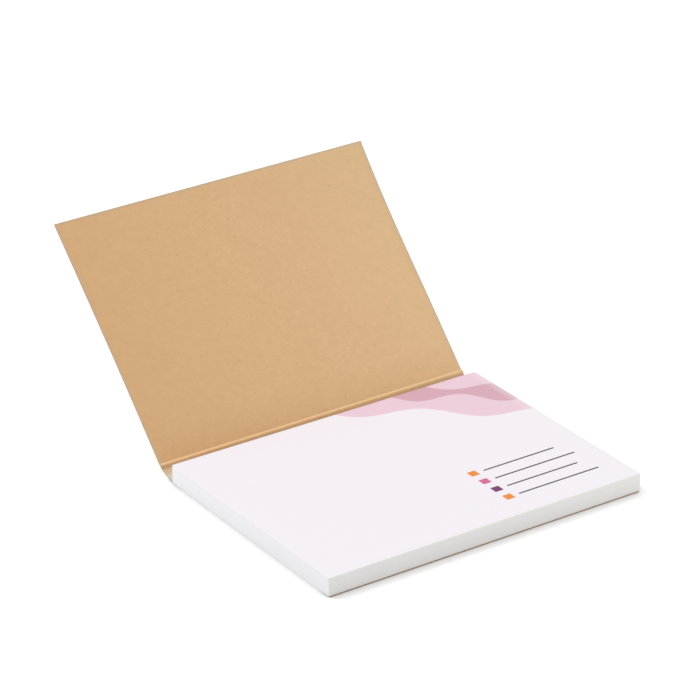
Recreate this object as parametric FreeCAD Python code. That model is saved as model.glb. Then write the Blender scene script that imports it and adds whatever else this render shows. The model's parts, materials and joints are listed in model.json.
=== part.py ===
"""A pad of sticky notes on a folded card, standing open with its cover leaning back.

Millimetres, +Z up. The origin is the centre of the base panel's underside, below the middle of
the block of notes. +X runs along the spine and +Y from the reader towards the spine.

The card is one strip that is folded twice, so it has three panels in a row: the base below the
notes, the spine behind them and the front cover. Each fold turns about the rounded bead that is
pressed along its crease. The bead is flush with the card's outer face and stands a little proud
of its inner face. The cover is not quite flat: it is twisted, and its free edge curls.
"""
import FreeCAD, Part
import math
import os

# The notes and the card are trimmed together, so they share one width
pad_width = 100.0

# The block of notes
note_depth = 74.0
sheet_thickness = 0.104
sheet_count = 50

# The folded card, with the height of each crease's bead above the card's inner face
card_thickness = 0.45
bead_height = 0.25
bead_clearance = 0.05
block_to_bead = 0.10

# The closed cover: its height above the top sheet, and how far it ends behind the front edge
closing_clearance = 0.35
cover_setback = 0.5

# The standing pose, in degrees from upright. The cover's angle is that of its right edge
spine_angle = 67.5
cover_angle = 44.5

# The cover's own shape: its left edge leans further back by this angle, and the free end of its
# right edge curls forward by this length
cover_twist_angle = 1.2
cover_curl = 1.7

# Sizes that follow from the ones above
block_thickness = sheet_count * sheet_thickness
front_edge_y = -note_depth / 2
bead_radius = (card_thickness + bead_height) / 2
inner_face = card_thickness - bead_radius
base_length = note_depth + block_to_bead + bead_radius
spine_length = card_thickness + block_thickness + closing_clearance + inner_face - bead_radius
cover_length = base_length - cover_setback


def straight_face(start, end):
    return Part.LineSegment(start, end).toShape()


def curled_face(start, end, curl):
    """A face that leaves its start in a straight line and rises as the cube of the distance."""
    third = (end - start) / 3
    curve = Part.BezierCurve()
    curve.setPoles([start, start + third, end - third, end + FreeCAD.Vector(0, 0, curl)])
    return curve.toShape()


def card_section(length, has_socket, has_bead, curl=None):
    """The section of one panel, in the YZ plane.

    The panel starts at the crease axis on the origin and runs along +Y. Its outer face lies
    below that axis by the bead's radius. A socket is the hollow end that turns round the
    neighbour's bead, and the panel's own bead is centred on its far end.
    """
    def point(y, z):
        return FreeCAD.Vector(0, y, z)

    outer_z = -bead_radius
    inner_z = inner_face
    edges = []
    outer_start = point(0, outer_z)
    inner_start = point(0, inner_z)
    if has_socket:
        socket_radius = bead_radius + bead_clearance
        outer_start = point(math.sqrt(socket_radius ** 2 - outer_z ** 2), outer_z)
        inner_start = point(math.sqrt(socket_radius ** 2 - inner_z ** 2), inner_z)
        edges.append(Part.Arc(inner_start, point(socket_radius, 0), outer_start).toShape())
    else:
        edges.append(Part.LineSegment(inner_start, outer_start).toShape())

    outer_end = point(length, outer_z)
    inner_end = point(length, inner_z)
    if has_bead:
        inner_end = point(length - math.sqrt(bead_radius ** 2 - inner_z ** 2), inner_z)
        edges.append(Part.Arc(outer_end, point(length + bead_radius, 0), inner_end).toShape())
    else:
        rise = FreeCAD.Vector(0, 0, curl or 0)
        edges.append(Part.LineSegment(outer_end + rise, inner_end + rise).toShape())

    for start, end in ((outer_start, outer_end), (inner_start, inner_end)):
        face = straight_face(start, end) if curl is None else curled_face(start, end, curl)
        edges.append(face)
    return Part.Wire(Part.__sortEdges__(edges))


def card_panel(length, has_socket, has_bead):
    """One flat panel of the card, with its first crease axis along X through the origin."""
    section = Part.Face(card_section(length, has_socket, has_bead))
    section.translate(FreeCAD.Vector(-pad_width / 2, 0, 0))
    return section.extrude(FreeCAD.Vector(pad_width, 0, 0))


def lean_back(shape, angle, place):
    """Turns a shape from flat to its angle from upright, and moves its crease axis to a place."""
    shape.rotate(FreeCAD.Vector(0, 0, 0), FreeCAD.Vector(1, 0, 0), 90 - angle)
    shape.translate(place)
    return shape


def base_card():
    """The base panel lies flat, from the front edge of the notes to the lower crease."""
    panel = card_panel(base_length, has_socket=False, has_bead=True)
    panel.translate(FreeCAD.Vector(0, front_edge_y, bead_radius))
    return panel


def spine(lower_crease):
    """The narrow panel behind the notes, as tall as the block and a little air above it."""
    panel = card_panel(spine_length, has_socket=True, has_bead=True)
    return lean_back(panel, spine_angle, lower_crease)


def front_cover(upper_crease):
    """The large panel that closes over the notes, drawn from its left edge to its right edge."""
    edges = (
        (-pad_width / 2, cover_angle + cover_twist_angle, 0.0),
        (pad_width / 2, cover_angle, cover_curl),
    )
    sections = []
    for x, angle, curl in edges:
        section = card_section(cover_length, has_socket=True, has_bead=False, curl=curl)
        sections.append(lean_back(section, angle, upper_crease + FreeCAD.Vector(x, 0, 0)))
    return Part.makeLoft(sections, True, True)


def note_block():
    """The glued block of notes, trimmed square and stuck on the base panel."""
    corner = FreeCAD.Vector(-pad_width / 2, front_edge_y, card_thickness)
    return Part.makeBox(pad_width, note_depth, block_thickness, corner)


lower_crease = FreeCAD.Vector(0, front_edge_y + base_length, bead_radius)
spine_direction = math.radians(90 - spine_angle)
upper_crease = lower_crease + FreeCAD.Vector(
    0, spine_length * math.cos(spine_direction), spine_length * math.sin(spine_direction))

nodes = {
    "base_card": base_card(),
    "note_block": note_block(),
    "spine": spine(lower_crease),
    "front_cover": front_cover(upper_crease),
}

os.makedirs("parts", exist_ok=True)
for name, shape in nodes.items():
    shape.exportStep("parts/" + name + ".step")
    print(name, "volume", round(shape.Volume, 2), "mm3, closed", shape.isClosed())

print("lower crease, mm:", tuple(round(c, 3) for c in lower_crease))
print("upper crease, mm:", tuple(round(c, 3) for c in upper_crease))
print("spine", round(spine_length, 3), "mm, cover", round(cover_length, 3), "mm")
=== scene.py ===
"""The looks of a sticky note pad that stands open on a white table.

The frame is the CAD model's: +Z up, +X along the spine, +Y from the reader to the spine, and the
origin below the middle of the notes. Shapes are worked out in millimetres, and a finished mesh is
scaled to metres in `add_piece`.

The block is fifty cut sheets with a printed top sheet. The card is one kraft strip that is creased
twice. It is made of two meshes that meet halfway up the spine, each of them holding one of the two
creases.
"""
import json
import math
import random

import bmesh
import bpy
from mathutils import Matrix, Vector


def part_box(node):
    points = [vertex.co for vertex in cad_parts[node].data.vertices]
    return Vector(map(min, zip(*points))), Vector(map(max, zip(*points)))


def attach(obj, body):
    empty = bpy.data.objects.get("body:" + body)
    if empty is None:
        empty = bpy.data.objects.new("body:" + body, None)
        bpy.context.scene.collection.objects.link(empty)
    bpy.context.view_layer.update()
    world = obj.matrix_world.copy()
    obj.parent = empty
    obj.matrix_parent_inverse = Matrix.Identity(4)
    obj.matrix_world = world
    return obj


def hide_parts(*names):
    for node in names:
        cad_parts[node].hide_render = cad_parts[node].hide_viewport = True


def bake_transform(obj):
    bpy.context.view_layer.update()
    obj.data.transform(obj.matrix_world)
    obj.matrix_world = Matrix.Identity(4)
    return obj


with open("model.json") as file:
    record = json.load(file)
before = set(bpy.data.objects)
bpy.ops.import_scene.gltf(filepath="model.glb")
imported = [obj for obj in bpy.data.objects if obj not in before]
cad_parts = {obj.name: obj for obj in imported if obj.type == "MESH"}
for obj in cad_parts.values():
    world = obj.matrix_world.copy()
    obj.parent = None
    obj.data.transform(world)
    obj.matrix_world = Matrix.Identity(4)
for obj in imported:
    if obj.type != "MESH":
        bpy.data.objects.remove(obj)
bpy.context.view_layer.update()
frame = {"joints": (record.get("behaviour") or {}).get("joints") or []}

# Sizes that the frame gives, in millimetres
MM = 0.001
block_low, block_high = (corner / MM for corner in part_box("note_block"))
creases = {joint["name"]: Vector(joint["pos_m"]) / MM for joint in frame["joints"]}
lower_crease = creases["spine_fold"]
upper_crease = creases["cover_fold"]
half_width = block_high.x
front_edge = block_low.y
card_thickness = block_low.z
outer_depth = lower_crease.z
spine_length = (upper_crease - lower_crease).length

# The card: its cover's length and pose, and the places where it departs from a flat panel
cover_setback = 0.5
base_length = lower_crease.y - front_edge
cover_length = base_length - cover_setback
cover_rise_left = math.radians(44.3)
cover_rise_right = math.radians(45.5)
cover_curl = 1.7
left_bow = 0.40
left_ripple = 0.05
right_bow = 0.01
right_ripple = 0.25
crease_lift = 0.52
card_trim = 0.45
card_trim_reach = 7.0
card_trim_end = 0.8
edge_softness = 0.05

# The pressed creases of the card
crease_reach = 0.7
bead_height = 0.46
bead_reach_in = 0.80
bead_reach_out = 0.85
lower_bead_reach_in = 0.45
groove_depth = 0.12
bead_offset = 0.15

# The block of notes
sheet_count = 50
sheet_gap = 0.02
sheet_shift = 0.018
gap_depth_front = 0.045
gap_depth_back = 0.015
corner_radius = 0.12
worn_corner_radius = 0.7
skirt_width = 0.4
skirt_drop = 0.42
skirt_fade = 5.0
corner_setback = 0.10
corner_swell = 0.08
block_slimming = 0.011
block_wedge = 0.007
side_points = 15

# The pieces' maps: millimetres to one unit, and how far apart their faces lie on them
map_unit = 100
edge_map_shift = 10
side_map_shift = 5
outer_map_shift = 1.0

# The camera, from the photograph's eight visible corners
IMAGE_SIDE = 700
SENSOR = 36.0
camera_yaw = math.radians(-34.670)
camera_pitch = math.radians(25.756)
camera_roll = math.radians(0.139)
camera_distance = 996.2
focal_pixels = 3459.3
camera_target = Vector((35.69, 77.80, 0.0))


# Shared helpers

def add_piece(name, bm, material):
    """Makes a finished piece of a mesh in millimetres."""
    bmesh.ops.recalc_face_normals(bm, faces=bm.faces)
    bmesh.ops.scale(bm, vec=(MM, MM, MM), verts=bm.verts)
    mesh = bpy.data.meshes.new(name)
    bm.to_mesh(mesh)
    bm.free()
    piece = bpy.data.objects.new(name, mesh)
    bpy.context.scene.collection.objects.link(piece)
    mesh.materials.append(material)
    return piece


def smooth_by_angle(piece, degrees):
    for face in piece.data.polygons:
        face.use_smooth = True
    piece.data.set_sharp_from_angle(angle=math.radians(degrees))


def srgb(red, green, blue):
    """A colour as it is picked on a screen, 0 to 255, in the linear values that a shader takes."""
    def linear(value):
        value = value / 255
        return value / 12.92 if value <= 0.04045 else ((value + 0.055) / 1.055) ** 2.4
    return (linear(red), linear(green), linear(blue), 1.0)


def smooth_step(value):
    """Rises softly from 0 to 1, and keeps to those ends."""
    value = min(max(value, 0.0), 1.0)
    return value * value * (3 - 2 * value)


# Shape of the block of notes

def note_outline():
    """A bottom face with softly rounded corners and enough points along its sides."""
    bm = bmesh.new()
    bmesh.ops.create_grid(bm, x_segments=1, y_segments=1, size=1.0)
    half_depth = (block_high.y - block_low.y) / 2
    bmesh.ops.scale(bm, vec=(half_width - sheet_shift, half_depth - sheet_shift, 1), verts=bm.verts)
    bmesh.ops.translate(bm, vec=(0, block_low.y + half_depth, block_low.z), verts=bm.verts)
    worn = [vert for vert in bm.verts if vert.co.x > 0 and vert.co.y > 0]
    sharp = [vert for vert in bm.verts if vert not in worn]
    bmesh.ops.translate(bm, vec=(0, -corner_setback, 0), verts=worn)
    for corners, radius in ((worn, worn_corner_radius), (sharp, corner_radius)):
        bmesh.ops.bevel(bm, geom=corners, offset=radius, segments=4, profile=0.5,
                        affect="VERTICES", material=-1)
    sides = [edge for edge in bm.edges if edge.calc_length() > half_depth]
    bmesh.ops.subdivide_edges(bm, edges=sides, cuts=side_points)
    return bm


def next_ring(bm, top, home, height, shift, depth):
    """Extrudes the top face to a height. Its outline is shifted, or pulled in by a depth."""
    ring = bmesh.ops.extrude_face_region(bm, geom=[top] + top.edges[:])["geom"]
    for vert in (part for part in ring if isinstance(part, bmesh.types.BMVert)):
        x, y, _ = vert[home]
        along = (y - block_low.y) / (block_high.y - block_low.y)
        pull = depth * (gap_depth_front + (gap_depth_back - gap_depth_front) * along)
        narrower = 1 - pull / half_width
        shorter = 1 - pull / block_high.y
        vert.co = (x * narrower + shift[0], y * shorter + shift[1], height)
    return next(part for part in ring if isinstance(part, bmesh.types.BMFace))


def drag_skirt(bm, bottom):
    """The cutter has dragged the lowest sheet down over the trimmed sides of the card."""
    skirt_faces = bmesh.ops.inset_region(
        bm, faces=[bottom], thickness=skirt_width, use_even_offset=True)["faces"]
    rim = {vert for face in skirt_faces for vert in face.verts} - set(bottom.verts)
    side_band = 0.1
    for vert in rim:
        if abs(vert.co.x) > half_width - side_band:
            to_corner = min(vert.co.y - block_low.y, block_high.y - vert.co.y)
            vert.co.z -= skirt_drop * smooth_step(to_corner / skirt_fade)


def map_sheets(bm, top):
    """Maps the top sheet in its middle, and the cut edges well away from it."""
    sheet_map = bm.loops.layers.uv.new("sheet")
    for face in bm.faces:
        front_or_back = abs(face.normal.y) > 0.5
        for loop in face.loops:
            x, y, z = (value / map_unit for value in loop.vert.co)
            if face == top:
                loop[sheet_map].uv = (x, y)
            else:
                loop[sheet_map].uv = (x if front_or_back else y + side_map_shift, z - edge_map_shift)


def settle_block(bm):
    """Presses the block a little thinner, with a slight wedge and a swollen back right corner."""
    thickness = block_high.z - block_low.z
    depth = block_high.y - block_low.y
    for vert in bm.verts:
        to_corner = (0.5 + vert.co.x / half_width / 2) * (vert.co.y - block_low.y) / depth
        share = (1 - block_slimming) * (1 - block_wedge * vert.co.x / half_width)
        share += corner_swell * to_corner ** 2 / thickness
        vert.co.z = block_low.z + (vert.co.z - block_low.z) * share


def note_stack():
    """Every sheet has its own cut edge, with a narrow gap over it that is tighter at the glue."""
    shake = random.Random(7)
    bm = note_outline()
    home = bm.verts.layers.float_vector.new("home")
    for vert in bm.verts:
        vert[home] = vert.co
    top = bm.faces[:][0]
    thickness = (block_high.z - block_low.z) / sheet_count
    for sheet in range(sheet_count):
        shift = [shake.uniform(-sheet_shift, sheet_shift) for _ in "xy"]
        floor = block_low.z + sheet * thickness
        ceiling = floor + thickness
        if sheet:
            top = next_ring(bm, top, home, floor, (0, 0), 1)
            top = next_ring(bm, top, home, floor + sheet_gap / 2, shift, 0)
        top = next_ring(bm, top, home, ceiling - sheet_gap / 2, shift, 0)
    bmesh.ops.translate(bm, vec=(0, 0, sheet_gap / 2), verts=top.verts)

    map_sheets(bm, top)
    settle_block(bm)
    bm.verts.layers.float_vector.remove(home)
    drag_skirt(bm, min(bm.faces, key=lambda face: face.calc_center_median().z))
    return bm


# Shape of the card

def ridge(distance, reach_before, reach_after):
    """A rounded ridge, 1 at its middle and 0 from its reach on, to either side."""
    reach = reach_before if distance < 0 else reach_after
    return 0.5 + 0.5 * math.cos(math.pi * min(abs(distance) / reach, 1.0))


def bend(corner, way_in, way_out, along):
    """A point on a line that turns at a corner, and the line's direction there."""
    if abs(along) >= crease_reach:
        way = way_in if along < 0 else way_out
        return corner + way * along, way
    share = (along + crease_reach) / (2 * crease_reach)
    start = corner - way_in * crease_reach
    end = corner + way_out * crease_reach
    point = start.lerp(corner, share).lerp(corner.lerp(end, share), share)
    return point, way_in.lerp(way_out, share)


def card_edge(along, height, lift, rise, curl, bow, ripple):
    """A point in the YZ plane of one side edge of the folded card.

    `along` is the distance from the lower crease on the flat strip, and `height` is measured
    from the level of the crease axes towards the card's inner face.
    """
    lower = lower_crease.yz
    upper = upper_crease.yz + Vector((0, lift))
    spine_way = (upper - lower) / spine_length
    if along < spine_length / 2:
        point, way = bend(lower, Vector((1, 0)), spine_way, along)
    else:
        free_end = upper_crease.yz + Vector((math.cos(rise), math.sin(rise))) * cover_length
        cover_way = (free_end - upper) / cover_length
        point, way = bend(upper, spine_way, cover_way, along - spine_length)
    share = max(along - spine_length, 0) / cover_length
    height += curl * share ** 3
    height += bow * math.sin(math.pi * share) + ripple * math.sin(2 * math.pi * share)
    inward = Vector((-way.y, way.x)).normalized()
    return point + inward * height


def fold(vert):
    """Moves a point of the flat strip to its place on the folded card."""
    along = vert.co.y
    inner = vert.co.z / card_thickness
    pressed = max(
        ridge(along, lower_bead_reach_in, bead_reach_in),
        ridge(along - spine_length - bead_offset, bead_reach_in, bead_reach_out))
    height = vert.co.z - outer_depth + pressed * (bead_height * inner + groove_depth * (1 - inner))
    left = card_edge(along, height, 0, cover_rise_left, 0, left_bow, left_ripple)
    right = card_edge(along, height, crease_lift, cover_rise_right, cover_curl, right_bow, right_ripple)
    y, z = left.lerp(right, (vert.co.x + half_width) / (2 * half_width))
    trim = card_trim * smooth_step((spine_length - card_trim_end - along) / card_trim_reach)
    vert.co = (vert.co.x * (1 - trim / half_width), y, z)


def stations(start, end):
    """Distances along the strip: close together at the creases and wide apart between them."""
    fine = 0.1
    coarse = 1.6
    growth = 0.6
    places = [start]
    while places[-1] < end:
        nearest = min(abs(places[-1]), abs(places[-1] - spine_length))
        step = min(max(fine, (nearest - bead_reach_out) * growth), coarse)
        places.append(min(places[-1] + step, end))
    return places


def card_strip(start, end):
    """A stretch of the card with its faces, cut edges, strip coordinates and folded shape."""
    places = stations(start, end)
    columns = 50
    rows = len(places) - 1
    bm = bmesh.new()
    bmesh.ops.create_grid(bm, x_segments=columns, y_segments=rows, size=0.5)
    for vert in bm.verts:
        vert.co.x *= 2 * half_width
        vert.co.y = places[round((vert.co.y + 0.5) * rows)]
    upper = bmesh.ops.extrude_face_region(bm, geom=bm.faces[:])["geom"]
    raised = [part for part in upper if isinstance(part, bmesh.types.BMVert)]
    bmesh.ops.translate(bm, vec=(0, 0, card_thickness), verts=raised)
    bmesh.ops.recalc_face_normals(bm, faces=bm.faces)
    rims = [edge for edge in bm.edges if edge.calc_face_angle(0) > 1]
    bmesh.ops.bevel(bm, geom=rims, offset=edge_softness, segments=2, profile=0.5,
                    affect="EDGES", material=-1)
    strip_map = bm.loops.layers.uv.new("strip")
    cut_edge_and_shade = bm.verts.layers.float.new("cut_edge_and_shade")
    for face in bm.faces:
        face_shift = outer_map_shift if face.normal.z < 0 else 0.0
        for loop in face.loops:
            x, y, _ = loop.vert.co
            loop[strip_map].uv = (x / map_unit, y / map_unit + face_shift)
        # The strip's cut ends take the full cut colour and its long sides half of it; on the base's
        # front edge the full colour is partly painted shade, as that edge stands in shadow at the table
        if abs(face.normal.z) < 0.1:
            for vert in face.verts:
                vert[cut_edge_and_shade] = 1.0 if abs(face.normal.y) > 0.5 else 0.5
    for vert in bm.verts:
        fold(vert)
    return bm


# Materials

class Tree:
    """A short way to write a material's nodes."""

    def __init__(self, name, tree=None):
        if tree is None:
            self.material = bpy.data.materials.new(name)
            self.material.use_nodes = True
            tree = self.material.node_tree
        self.tree = tree
        tree.nodes.clear()

    def add(self, kind, inputs=None, **settings):
        node = self.tree.nodes.new(kind)
        for key, value in settings.items():
            setattr(node, key, value)
        for key, value in (inputs or {}).items():
            if isinstance(value, bpy.types.NodeSocket):
                self.tree.links.new(value, node.inputs[key])
            else:
                node.inputs[key].default_value = value
        return node

    def math(self, operation, first, second=0.0):
        return self.add("ShaderNodeMath", {0: first, 1: second}, operation=operation).outputs[0]

    def mix(self, share, first, second):
        node = self.add("ShaderNodeMix", data_type="RGBA")
        for index, value in ((0, share), (6, first), (7, second)):
            if isinstance(value, bpy.types.NodeSocket):
                self.tree.links.new(value, node.inputs[index])
            else:
                node.inputs[index].default_value = value
        return node.outputs[2]

    def ramp(self, value, low, high, to_low=0.0, to_high=1.0, smooth=True):
        """Maps low..high to to_low..to_high, and keeps to those ends."""
        node = self.add(
            "ShaderNodeMapRange",
            {"Value": value, "From Min": low, "From Max": high, "To Min": to_low, "To Max": to_high},
            interpolation_type="SMOOTHSTEP" if smooth else "LINEAR")
        return node.outputs["Result"]

    def noise(self, vector, scale, detail=2.0, roughness=0.5, size="3D"):
        node = self.add(
            "ShaderNodeTexNoise",
            {"Vector": vector, "Scale": scale, "Detail": detail, "Roughness": roughness},
            noise_dimensions=size)
        return node.outputs["Fac"]

    def finish(self, shader):
        output = self.add("ShaderNodeOutputMaterial")
        self.tree.links.new(shader, output.inputs["Surface"])
        return self.material


def scattered(t, place, scale, rarity, outer, inner):
    """Random soft spots, 1 at their middle, and a random number for each of them."""
    cells = t.add("ShaderNodeTexVoronoi", {"Vector": place, "Scale": scale}, voronoi_dimensions="2D")
    draw = t.add("ShaderNodeSeparateColor", {"Color": cells.outputs["Color"]})
    chosen = t.math("GREATER_THAN", draw.outputs["Red"], rarity)
    spot = t.ramp(cells.outputs["Distance"], outer, inner)
    return t.math("MULTIPLY", chosen, spot), draw.outputs["Green"]


def fibre_lines(t, strip):
    """Short straight fibres in four directions, some lighter than the card and some darker."""
    fibres = 0.0
    for angle, shift in ((12, 0.0), (63, 3.1), (118, 7.7), (160, 12.3)):
        turned = t.add("ShaderNodeMapping", {
            "Vector": strip, "Location": (shift, shift * 1.7, 0),
            "Rotation": (0, 0, math.radians(angle)), "Scale": (40, 650, 1)}).outputs["Vector"]
        line = t.noise(turned, 1.0, 1, 0.5, "2D")
        light = t.ramp(line, 0.66, 0.76, 0.0, 0.045)
        dark = t.ramp(line, 0.34, 0.24, 0.0, -0.045)
        fibres = t.math("ADD", fibres, t.math("ADD", light, dark))
    return fibres


def chip_tones(t, strip):
    """Soft chips, each a little lighter or darker than the card round it."""
    chips, kind = scattered(t, strip, 60, 0.60, 0.40, 0.12)
    return t.math("MULTIPLY", chips, t.ramp(kind, 0, 1, -0.040, 0.040, smooth=False))


def kraft_with_painted_sheen(t, strip, across, cloud):
    """The card's own brown and a few reddish specks, with a painted sheen that makes it paler to the
    right.
    """
    # Painted sheen: the colour runs paler from left to right across the card, plus a little random
    # cloud
    sheen_and_cloud_drift = t.math("ADD", across, t.ramp(cloud, 0.3, 0.7, 0.48, 0.52, smooth=False))
    color = t.mix(t.ramp(sheen_and_cloud_drift, 0, 1, smooth=False), srgb(221, 177, 128), srgb(230, 192, 145))
    specks, _ = scattered(t, strip, 26, 0.975, 0.11, 0.03)
    return t.mix(t.math("MULTIPLY", specks, 0.28), color, srgb(150, 84, 60))


def crease_wear_and_painted_light(t, color, from_crease):
    """Bands by the upper crease: a painted highlight on its bead that is partly rubbed wear, painted
    shade just below it, and painted bounce light from the white block down the spine.
    """
    bands = (
        # Painted highlight on the bead, partly rubbed wear
        ((-0.35, 0.0), (0.95, 0.5), 0.8, srgb(238, 200, 152)),
        # Painted shade just below the bead
        ((-0.25, -0.6), (-1.6, -0.9), 0.55, srgb(172, 143, 120)),
        # Painted bounce light from the white block, paler down the spine
        ((-1.0, -4.0), (-9.0, -6.0), 0.75, srgb(230, 216, 190)),
    )
    for near, far, share, mark in bands:
        band = t.math("MULTIPLY", t.ramp(from_crease, *near), t.ramp(from_crease, *far))
        color = t.mix(t.math("MULTIPLY", band, share), color, mark)
    return color


def cover_shade_and_rim_tint(t, across, along, from_crease):
    """A tint for the card's colour: painted shade at the cover's foot by the crease, and bluer at its
    rims.
    """
    rim_start = (half_width - 1.1) / map_unit
    rim_full = (half_width - 0.4) / map_unit
    side_rim = t.ramp(t.math("ABSOLUTE", across), rim_start, rim_full)
    free_end = (spine_length + cover_length) / map_unit
    end_rim = t.ramp(t.math("ABSOLUTE", t.math("SUBTRACT", along, free_end)), 0.0110, 0.0040)
    # Painted shade: the cover is a little darker over its first centimetre above the crease
    painted_foot_shade = t.math("MULTIPLY", t.ramp(from_crease, 0.4, 1.2), t.ramp(from_crease, 11, 3))
    tint = t.mix(painted_foot_shade, (1, 1, 1, 1), (0.980, 0.966, 0.958, 1))
    tint = t.mix(t.math("MULTIPLY", side_rim, 0.8), tint, (0.86, 1.0, 1.26, 1))
    return t.mix(t.math("MULTIPLY", end_rim, 0.8), tint, (0.79, 0.93, 1.19, 1))


def multiplied(t, first, second):
    return t.add("ShaderNodeVectorMath", {0: first, 1: second}, operation="MULTIPLY").outputs[0]


def kraft_material():
    """Brown kraft card: cloudy tone, short fibres, chips, specks and greyer cut edges, with painted
    light and shade: a sheen to the right, a highlight and shade at the crease, shade at the cover's
    foot and on the front cut edge.
    """
    t = Tree("kraft_card")
    strip = t.add("ShaderNodeUVMap", uv_map="strip").outputs["UV"]
    place = t.add("ShaderNodeSeparateXYZ", {"Vector": strip})
    across, along = place.outputs["X"], place.outputs["Y"]
    from_crease = t.math("SUBTRACT", along, spine_length / map_unit)
    from_crease = t.math("MULTIPLY", from_crease, map_unit)

    cloud = t.noise(strip, 9, 3, 0.55, "2D")
    mottle = t.noise(strip, 42, 3, 0.6, "2D")
    grain = t.noise(strip, 420, 2, 0.6, "2D")
    fibres = fibre_lines(t, strip)
    tone = t.ramp(cloud, 0.25, 0.75, -0.006, 0.006, smooth=False)
    tone = t.math("ADD", tone, t.ramp(mottle, 0.25, 0.75, -0.022, 0.022, smooth=False))
    tone = t.math("ADD", tone, t.ramp(grain, 0.2, 0.8, -0.014, 0.014, smooth=False))
    tone = t.math("ADD", tone, fibres)
    tone = t.math("ADD", tone, chip_tones(t, strip))
    level = t.math("ADD", 1.0, tone)
    grey = t.add("ShaderNodeCombineXYZ", {"X": level, "Y": level, "Z": level}).outputs[0]

    color = kraft_with_painted_sheen(t, strip, across, cloud)
    color = crease_wear_and_painted_light(t, color, from_crease)
    color = multiplied(t, color, cover_shade_and_rim_tint(t, across, along, from_crease))
    # Greyer cut edges, darkest at the strip's ends, which is partly painted shade at the base's front
    # edge
    cut_edge_and_shade = t.add("ShaderNodeAttribute", attribute_name="cut_edge_and_shade").outputs["Fac"]
    color = t.mix(cut_edge_and_shade, color, srgb(167, 146, 126))
    color = multiplied(t, color, grey)

    relief = t.math("ADD", t.math("MULTIPLY", grain, 0.5), t.math("MULTIPLY", fibres, 4.0))
    bump = t.add("ShaderNodeBump", {"Height": relief, "Strength": 0.35, "Distance": 0.00004})
    shader = t.add("ShaderNodeBsdfPrincipled", {
        "Base Color": color, "Roughness": 0.82, "Specular IOR Level": 0.35,
        "Normal": bump.outputs["Normal"]})
    return t.finish(shader.outputs["BSDF"])


def wave_line(t, x, y, start, end, offset, height, length, turn):
    """The signed distance of a point from a wavy line between two places on the top sheet."""
    way = (Vector(end) - Vector(start)).normalized()
    dx = t.math("SUBTRACT", x, start[0])
    dy = t.math("SUBTRACT", y, start[1])
    along = t.math("ADD", t.math("MULTIPLY", dx, way.x), t.math("MULTIPLY", dy, way.y))
    away = t.math("ADD", t.math("MULTIPLY", dx, -way.y), t.math("MULTIPLY", dy, way.x))
    swing = t.math("SINE", t.math("ADD", t.math("MULTIPLY", along, 2 * math.pi / length), turn))
    return t.math("SUBTRACT", t.math("ADD", away, t.math("MULTIPLY", swing, height)), offset)


def between(t, value, low, high):
    """1 between two places along one direction of the top sheet."""
    from_middle = t.math("ABSOLUTE", t.math("SUBTRACT", value, (low + high) / 2))
    return t.math("LESS_THAN", from_middle, (high - low) / 2)


def bar(t, x, y, left, right, low, high):
    """1 inside a rectangle on the top sheet."""
    return t.math("MULTIPLY", between(t, x, left, right), between(t, y, low, high))


def printed_color(t, x, y, paper):
    """A plain print: two pink waves across the back right corner, and a short ruled list."""
    start, end = (4, 37), (50, 7)
    pale = t.math("GREATER_THAN", wave_line(t, x, y, start, end, 0, 2.4, 34, 0.6), 0)
    deep = t.math("MULTIPLY",
                  t.math("GREATER_THAN", wave_line(t, x, y, start, end, 9, 2.2, 24, 2.2), 0),
                  t.math("LESS_THAN", wave_line(t, x, y, start, end, 16, 2.0, 28, 0.9), 0))
    color = t.mix(pale, paper, srgb(236, 206, 220))
    color = t.mix(deep, color, srgb(216, 171, 186))

    list_left = 12
    list_right = 43
    list_front = -29
    pitch = 5.2
    mark_side = 2.6
    rule_start = 4.6
    rule_low = 0.9
    rule_high = 1.5
    stagger = 3
    marks = (srgb(236, 146, 66), srgb(122, 66, 116), srgb(214, 108, 152), srgb(236, 146, 66))
    for row, mark in enumerate(marks):
        front = list_front + row * pitch
        square = bar(t, x, y, list_left, list_left + mark_side, front, front + mark_side)
        color = t.mix(square, color, mark)
        rule_end = list_right - stagger * (row % 2)
        rule = bar(t, x, y, list_left + rule_start, rule_end, front + rule_low, front + rule_high)
        color = t.mix(rule, color, srgb(84, 82, 90))
    margin = t.math("MULTIPLY", t.ramp(x, half_width - 3.2, half_width - 0.2), 0.35)
    return t.mix(margin, color, srgb(236, 237, 235))


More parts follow.
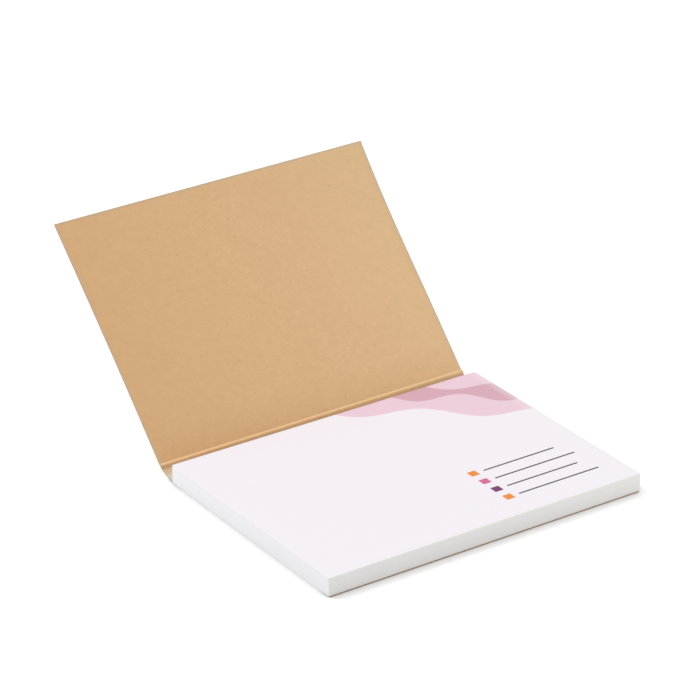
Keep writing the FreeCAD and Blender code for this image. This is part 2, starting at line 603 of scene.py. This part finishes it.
def paper_material():
    """Smooth white paper: a printed top sheet, and sheet edges that differ a little in tone, with a
    painted warm light on the front and back edges.
    """
    t = Tree("note_paper")
    sheet_map = t.add("ShaderNodeUVMap", uv_map="sheet").outputs["UV"]
    sheet = t.add("ShaderNodeSeparateXYZ", {"Vector": sheet_map})
    x = t.math("MULTIPLY", sheet.outputs["X"], map_unit)
    y = t.math("MULTIPLY", sheet.outputs["Y"], map_unit)
    on_top = t.math("GREATER_THAN", sheet.outputs["Y"], -edge_map_shift / 2)

    thickness = (block_high.z - block_low.z) / sheet_count
    height = t.math("ADD", y, edge_map_shift * map_unit - block_low.z)
    number = t.math("FLOOR", t.math("DIVIDE", height, thickness))
    shade = t.add("ShaderNodeTexWhiteNoise", {"W": number}, noise_dimensions="1D").outputs["Value"]
    edges = t.mix(shade, srgb(243, 243, 246), srgb(248, 248, 251))
    front_or_back = t.math("LESS_THAN", sheet.outputs["X"], side_map_shift / 2)
    # Painted warm light: the front and back sheet edges are warmer than the sides
    warm_lit_edges = t.mix(shade, srgb(242, 240, 237), srgb(247, 245, 243))
    edges = t.mix(front_or_back, edges, warm_lit_edges)
    color = t.mix(on_top, edges, printed_color(t, x, y, srgb(244, 239, 245)))

    place = t.add("ShaderNodeTexCoord").outputs["Object"]
    tooth = t.noise(place, 2600, 2, 0.6)
    bump = t.add("ShaderNodeBump", {"Height": tooth, "Strength": 0.25, "Distance": 0.00002})
    shader = t.add("ShaderNodeBsdfPrincipled", {
        "Base Color": color, "Roughness": 0.78, "Specular IOR Level": 0.3,
        "Normal": bump.outputs["Normal"]})
    return t.finish(shader.outputs["BSDF"])


# Floor, light and camera

def add_floor():
    floor_glow = 0.36
    contact_reach = 0.005
    contact_fade = 3
    bm = bmesh.new()
    bmesh.ops.create_grid(bm, x_segments=1, y_segments=1, size=4000)
    t = Tree("white_table")
    seen = t.add("ShaderNodeLightPath")
    rays = t.math("MAXIMUM", seen.outputs["Is Camera Ray"], seen.outputs["Is Glossy Ray"])
    rays = t.math("MAXIMUM", rays, seen.outputs["Is Transmission Ray"])
    contact = t.add("ShaderNodeAmbientOcclusion", {"Distance": contact_reach}, samples=8).outputs["AO"]
    place = t.add("ShaderNodeTexCoord").outputs["Object"]
    depth = t.add("ShaderNodeSeparateXYZ", {"Vector": place}).outputs["Y"]
    # No contact shade falls behind the block, where the card turns up from the table
    block_end = block_high.y * MM
    behind = t.ramp(depth, block_end, block_end + contact_fade * MM, 0.0, 0.9)
    contact = t.math("MAXIMUM", contact, behind)
    shade = t.ramp(contact, 0.45, 1.0, 0.64, 1.0, smooth=False)
    strength = t.math("MULTIPLY", t.math("MULTIPLY", rays, floor_glow), shade)
    glow = t.add("ShaderNodeEmission", {"Color": (1, 1, 1, 1), "Strength": strength})
    matte = t.add("ShaderNodeBsdfDiffuse", {"Color": t.mix(shade, (0, 0, 0, 1), (0.9, 0.9, 0.9, 1))})
    both = t.add("ShaderNodeAddShader", {0: matte.outputs[0], 1: glow.outputs[0]})
    floor = add_piece("table", bm, t.finish(both.outputs[0]))


def add_world():
    world = bpy.data.worlds.new("studio")
    bpy.context.scene.world = world
    world.use_nodes = True
    t = Tree("", world.node_tree)
    seen = t.add("ShaderNodeLightPath")
    rays = t.math("MAXIMUM", seen.outputs["Is Camera Ray"], seen.outputs["Is Glossy Ray"])
    strength = t.ramp(rays, 0, 1, 0.77, 1.0, smooth=False)
    background = t.add("ShaderNodeBackground", {"Color": (1, 1, 1, 1), "Strength": strength})
    output = t.add("ShaderNodeOutputWorld")
    t.tree.links.new(background.outputs[0], output.inputs["Surface"])


def add_lamp(name, place, aim, size, power, color=(1, 1, 1)):
    lamp = bpy.data.lights.new(name, "AREA")
    lamp.color = color
    lamp.shape = "DISK"
    lamp.size = size * MM
    lamp.energy = power
    holder = bpy.data.objects.new(name, lamp)
    bpy.context.scene.collection.objects.link(holder)
    holder.location = Vector(place) * MM
    holder.rotation_euler = (Vector(aim) - Vector(place)).to_track_quat("-Z", "Y").to_euler()


def add_camera():
    back = Vector((
        math.sin(camera_yaw) * math.cos(camera_pitch),
        -math.cos(camera_yaw) * math.cos(camera_pitch),
        math.sin(camera_pitch)))
    level_right = Vector((math.cos(camera_yaw), math.sin(camera_yaw), 0))
    level_up = back.cross(level_right)
    right = level_right * math.cos(camera_roll) + level_up * math.sin(camera_roll)
    up = level_up * math.cos(camera_roll) - level_right * math.sin(camera_roll)
    lens = bpy.data.cameras.new("camera")
    lens.sensor_width = SENSOR
    lens.lens = focal_pixels / IMAGE_SIDE * SENSOR
    lens.clip_end = 100
    camera = bpy.data.objects.new("camera", lens)
    bpy.context.scene.collection.objects.link(camera)
    turn = Matrix((right, up, back)).transposed().to_4x4()
    camera.matrix_world = Matrix.Translation((camera_target + back * camera_distance) * MM) @ turn
    bpy.context.scene.camera = camera


# The pad

def build_pad():
    kraft = kraft_material()
    notes = add_piece("note_stack", note_stack(), paper_material())
    smooth_by_angle(notes, 20)
    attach(notes, "base")
    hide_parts("note_block")

    base = add_piece("base_and_lower_spine", card_strip(-base_length, spine_length / 2), kraft)
    smooth_by_angle(base, 35)
    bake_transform(base)
    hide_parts("base_card")

    upper_strip = card_strip(spine_length / 2, spine_length + cover_length)
    cover = add_piece("cover_and_upper_spine", upper_strip, kraft)
    smooth_by_angle(cover, 35)
    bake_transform(cover)
    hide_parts("spine", "front_cover")


build_pad()
add_floor()
add_world()
add_lamp("overhead", (-720, 850, 1420), (0, 20, 0), 700, 10.2)
add_lamp("front_right", (130, -140, 35), (50, -37, 3), 60, 0.019, (1.0, 0.9, 0.78))
add_camera()
bpy.context.scene.view_settings.view_transform = "Standard"
